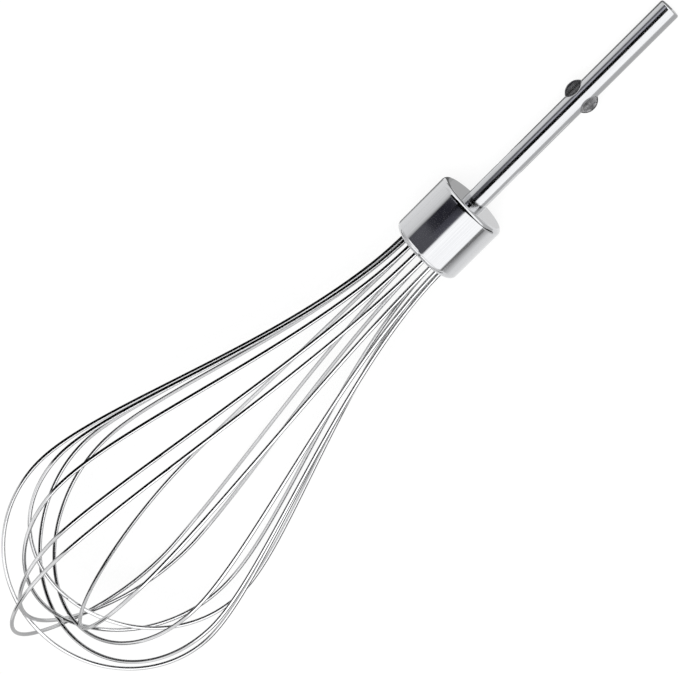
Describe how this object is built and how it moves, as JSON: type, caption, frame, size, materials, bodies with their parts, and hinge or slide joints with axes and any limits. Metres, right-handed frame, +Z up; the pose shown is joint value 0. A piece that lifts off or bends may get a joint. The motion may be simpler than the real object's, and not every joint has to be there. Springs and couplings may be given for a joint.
{
  "type": "hand mixer whisk",
  "caption": "Balloon whisk attachment for a hand mixer: wire loops held in a steel collar on a spindle with two drive ears.",
  "frame": {"origin": "centre of the underside of the whisk's box, where it lies on a table", "axes": "+X from the spindle towards the balloon along the table, +Z up, +Y to the whisk's left as seen from the spindle"},
  "size_m": [0.2694, 0.073, 0.0752],
  "materials": {
    "shaft_steel": "ground and polished stainless steel",
    "collar_steel": "mirror polished stainless steel",
    "wire_steel": "bright drawn stainless steel wire",
    "holder_plastic": "moulded"
  },
  "bodies": {
    "root": {"drive_shaft": "shaft_steel", "collar": "collar_steel", "wire_holder": "holder_plastic", "wire_loop_1": "wire_steel", "wire_loop_2": "wire_steel", "wire_loop_3": "wire_steel", "wire_loop_4": "wire_steel", "wire_loop_5": "wire_steel", "wire_loop_6": "wire_steel", "wire_loop_7": "wire_steel", "wire_loop_8": "wire_steel"}
  },
  "joints": []
}
